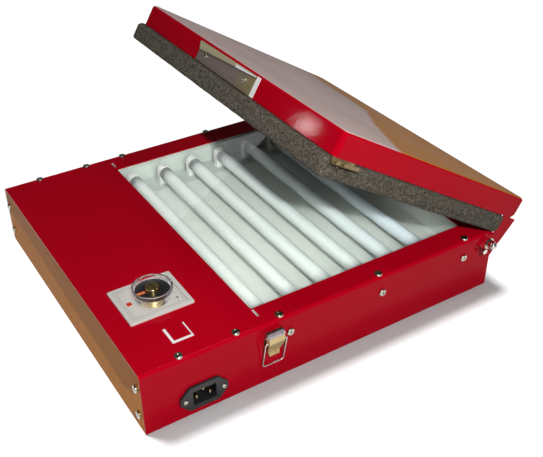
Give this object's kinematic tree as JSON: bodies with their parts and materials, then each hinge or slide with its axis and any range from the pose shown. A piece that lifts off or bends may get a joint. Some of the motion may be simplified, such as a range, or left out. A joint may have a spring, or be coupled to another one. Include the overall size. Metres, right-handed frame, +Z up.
{
  "type": "screen printing exposure unit",
  "caption": "Low red lamp box with a glass top over fluorescent tubes, a hinged foam-padded lid with draw latches, a timer and a mains inlet.",
  "frame": {"origin": "middle of the lamp box's underside", "axes": "+X to the right towards the lid hinge, +Y to the back, +Z up"},
  "size_m": [0.4559, 0.399, 0.2492],
  "materials": {
    "black_plastic": "black moulded plastic",
    "board": "plain fibre board",
    "brass": "yellow passivated or brass",
    "bright_steel": "bright plated steel",
    "bronze_sheet": "tan satin coat on sheet",
    "clear_plastic": "clear moulded plastic",
    "cover_sheet": "glossy sheet, mauve-grey and tan",
    "fibre": "hard fibre",
    "foam": "open-cell foam, charcoal brown",
    "glass": "clear float glass",
    "lamp_cap": "dull aluminium",
    "lamp_glass": "white coated lamp tube",
    "lever_gold": "yellow passivated steel",
    "orange_plastic": "orange moulded plastic",
    "plain_steel": "plain sheet steel",
    "red_paint": "glossy red coat on folded sheet",
    "red_plastic": "red lens",
    "white_coat": "white reflector coat",
    "white_mark": "white vinyl",
    "white_plastic": "white moulded plastic",
    "wire": "insulated wire",
    "zinc": "zinc-plated steel"
  },
  "bodies": {
    "base": {"ballasts": "black_plastic", "bottom_plate": "plain_steel", "bottom_screws": "zinc", "control_divider": "plain_steel", "deck_mark": "white_mark", "deck_screws": "zinc", "end_panel_screws": "zinc", "friction_washers": "fibre", "glass_rails": "white_coat", "glass_sheet": "glass", "hinge_bolts": "zinc", "hinge_nuts": "bright_steel", "hinge_washers": "zinc", "housing_wrap": "red_paint", "inlet_body": "black_plastic", "inlet_pins": "brass", "inlet_screws": "zinc", "lamp_1": "lamp_glass", "lamp_2": "lamp_glass", "lamp_3": "lamp_glass", "lamp_4": "lamp_glass", "lamp_5": "lamp_glass", "lamp_6": "lamp_glass", "lamp_caps": "lamp_cap", "lampholders": "white_plastic", "latch_base_back": "bright_steel", "latch_base_front": "bright_steel", "latch_pins": "zinc", "latch_rivets": "zinc", "left_end_panel": "bronze_sheet", "reflector_tray": "white_coat", "right_end_panel": "red_paint", "stop_pin_nuts": "zinc", "stop_pins": "bright_steel", "terminal_block": "black_plastic", "timer_body": "black_plastic", "timer_indicator": "red_plastic", "timer_plate": "white_plastic", "tray_supports": "plain_steel", "wall_screws": "zinc", "wiring": "wire"},
    "lid": {"lid_pan": "red_paint", "lid_cover_sheet": "cover_sheet", "backing_board": "board", "foam_pad": "foam", "hinge_ear_front": "red_paint", "hinge_ear_back": "red_paint", "catches": "zinc", "lid_handle": "bright_steel", "handle_screws": "zinc", "handle_mark": "white_mark"},
    "timer_dial": {"timer_knob": "clear_plastic", "timer_hub": "brass", "timer_disc": "black_plastic", "timer_pointer": "orange_plastic"},
    "lever_front": {"latch_lever_front": "lever_gold"},
    "bail_front": {"latch_bail_front": "bright_steel"},
    "lever_back": {"latch_lever_back": "lever_gold"},
    "bail_back": {"latch_bail_back": "bright_steel"}
  },
  "joints": [
    {"name": "lid_hinge", "type": "hinge", "parent": "base", "child": "lid", "pos_m": [0.202, 0, 0.058], "axis": [0, 1, 0], "range_deg": [-31.6, 0]},
    {"name": "timer_turn", "type": "hinge", "parent": "base", "child": "timer_dial", "pos_m": [-0.1502, -0.0945, 0.08], "axis": [0, 0, 1], "range_deg": [0, 300]},
    {"name": "lever_front_swing", "type": "hinge", "parent": "base", "child": "lever_front", "pos_m": [-0.073, -0.1915, 0.06], "axis": [-1, 0, 0], "range_deg": [0, 150]},
    {"name": "bail_front_swing", "type": "hinge", "parent": "lever_front", "child": "bail_front", "pos_m": [-0.073, -0.194, 0.0545], "axis": [1, 0, 0], "range_deg": [-194.2, 0]},
    {"name": "lever_back_swing", "type": "hinge", "parent": "base", "child": "lever_back", "pos_m": [-0.073, 0.1915, 0.06], "axis": [1, 0, 0], "range_deg": [0, 150]},
    {"name": "bail_back_swing", "type": "hinge", "parent": "lever_back", "child": "bail_back", "pos_m": [-0.073, 0.194, 0.0545], "axis": [-1, 0, 0], "range_deg": [-194.2, 0]}
  ]
}
